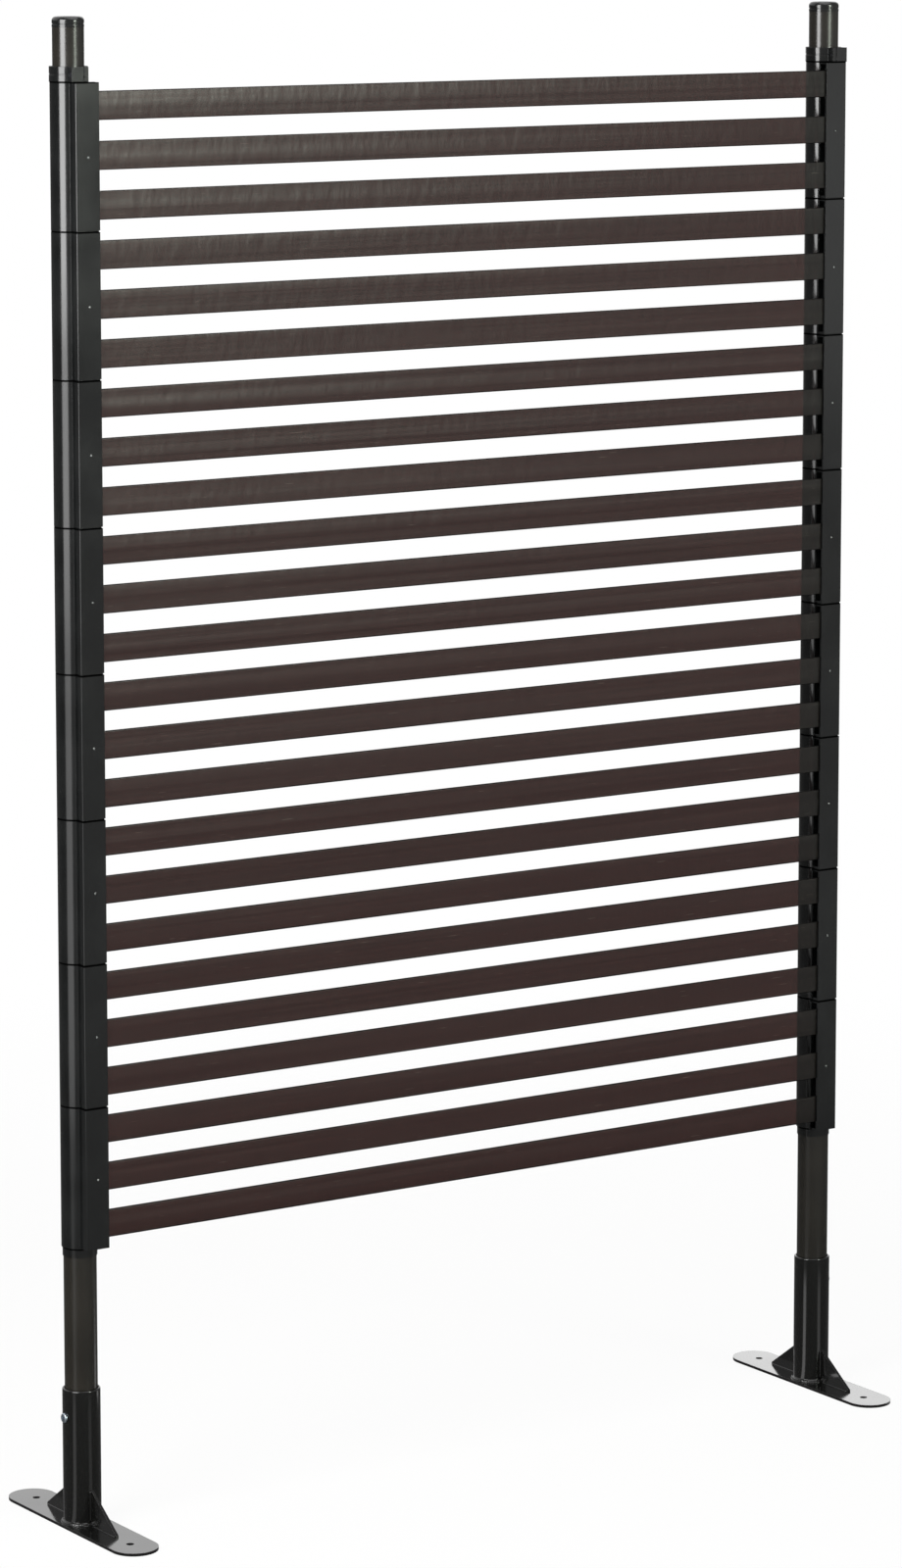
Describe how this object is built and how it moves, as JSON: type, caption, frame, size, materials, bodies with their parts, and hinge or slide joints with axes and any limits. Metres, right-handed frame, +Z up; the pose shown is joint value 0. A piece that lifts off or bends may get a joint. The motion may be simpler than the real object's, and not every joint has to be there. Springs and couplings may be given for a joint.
{
  "type": "garden fence panel",
  "caption": "Free-standing slatted garden fence panel: thin plastic slats in stacked bracket modules on round posts, with welded feet that slide on the posts and bolt to the ground.",
  "frame": {"origin": "on the ground, midway between the two post axes", "axes": "+Z up, +X along the fence to its right-hand post seen from the front, -Y to the front, the side that the slats are on"},
  "size_m": [0.968, 0.25, 1.5],
  "materials": {
    "slat_plastic": "extruded brown plastic, satin, slightly translucent",
    "bracket_plastic": "moulded black plastic, satin",
    "post_paint": "steel tube with a dark brown-black coating, satin",
    "foot_paint": "welded steel, gloss black paint",
    "zinc_steel": "bright zinc plating",
    "black_steel": "black oxide"
  },
  "bodies": {
    "panel": {"slat_01": "slat_plastic", "slat_02": "slat_plastic", "slat_03": "slat_plastic", "slat_04": "slat_plastic", "slat_05": "slat_plastic", "slat_06": "slat_plastic", "slat_07": "slat_plastic", "slat_08": "slat_plastic", "slat_09": "slat_plastic", "slat_10": "slat_plastic", "slat_11": "slat_plastic", "slat_12": "slat_plastic", "slat_13": "slat_plastic", "slat_14": "slat_plastic", "slat_15": "slat_plastic", "slat_16": "slat_plastic", "slat_17": "slat_plastic", "slat_18": "slat_plastic", "slat_19": "slat_plastic", "slat_20": "slat_plastic", "slat_21": "slat_plastic", "slat_22": "slat_plastic", "slat_23": "slat_plastic", "slat_24": "slat_plastic", "bracket_left_1": "bracket_plastic", "bracket_left_2": "bracket_plastic", "bracket_left_3": "bracket_plastic", "bracket_left_4": "bracket_plastic", "bracket_left_5": "bracket_plastic", "bracket_left_6": "bracket_plastic", "bracket_left_7": "bracket_plastic", "bracket_left_8": "bracket_plastic", "bracket_right_1": "bracket_plastic", "bracket_right_2": "bracket_plastic", "bracket_right_3": "bracket_plastic", "bracket_right_4": "bracket_plastic", "bracket_right_5": "bracket_plastic", "bracket_right_6": "bracket_plastic", "bracket_right_7": "bracket_plastic", "bracket_right_8": "bracket_plastic"},
    "left_post": {"lower_tube_left": "post_paint", "upper_tube_left": "post_paint", "end_cap_left": "bracket_plastic"},
    "left_foot": {"base_plate_left": "foot_paint", "socket_tube_left": "foot_paint", "gussets_left": "foot_paint"},
    "left_collar": {"stop_collar_left": "bracket_plastic"},
    "left_lock_screw": {"lock_screw_left": "zinc_steel"},
    "left_pinch_screw": {"pinch_screw_left": "black_steel"},
    "right_post": {"lower_tube_right": "post_paint", "upper_tube_right": "post_paint", "end_cap_right": "bracket_plastic"},
    "right_foot": {"base_plate_right": "foot_paint", "socket_tube_right": "foot_paint", "gussets_right": "foot_paint"},
    "right_collar": {"stop_collar_right": "bracket_plastic"},
    "right_lock_screw": {"lock_screw_right": "zinc_steel"},
    "right_pinch_screw": {"pinch_screw_right": "black_steel"}
  },
  "joints": [
    {"name": "left_post_swivel", "type": "hinge", "parent": "panel", "child": "left_post", "pos_m": [-0.46, 0, 0.2855], "axis": [0, 0, 1], "continuous": true},
    {"name": "left_foot_slide", "type": "slide", "parent": "left_post", "child": "left_foot", "axis": [0, 0, -1], "range_m": [0, 0.08]},
    {"name": "left_collar_slide", "type": "slide", "parent": "left_post", "child": "left_collar", "axis": [0, 0, 1], "range_m": [0, 0.037]},
    {"name": "left_lock_screw_turn", "type": "hinge", "parent": "left_foot", "child": "left_lock_screw", "pos_m": [-0.4794, 0, 0.112], "axis": [-1, 0, 0], "continuous": true},
    {"name": "left_pinch_screw_turn", "type": "hinge", "parent": "left_collar", "child": "left_pinch_screw", "pos_m": [-0.46, -0.02245, 1.445], "axis": [-1, 0, 0], "continuous": true},
    {"name": "right_post_swivel", "type": "hinge", "parent": "panel", "child": "right_post", "pos_m": [0.46, 0, 0.2855], "axis": [0, 0, 1], "continuous": true},
    {"name": "right_foot_slide", "type": "slide", "parent": "right_post", "child": "right_foot", "axis": [0, 0, -1], "range_m": [0, 0.08]},
    {"name": "right_collar_slide", "type": "slide", "parent": "right_post", "child": "right_collar", "axis": [0, 0, 1], "range_m": [0, 0.037]},
    {"name": "right_lock_screw_turn", "type": "hinge", "parent": "right_foot", "child": "right_lock_screw", "pos_m": [0.4794, 0, 0.112], "axis": [1, 0, 0], "continuous": true},
    {"name": "right_pinch_screw_turn", "type": "hinge", "parent": "right_collar", "child": "right_pinch_screw", "pos_m": [0.46, -0.02245, 1.445], "axis": [1, 0, 0], "continuous": true}
  ]
}
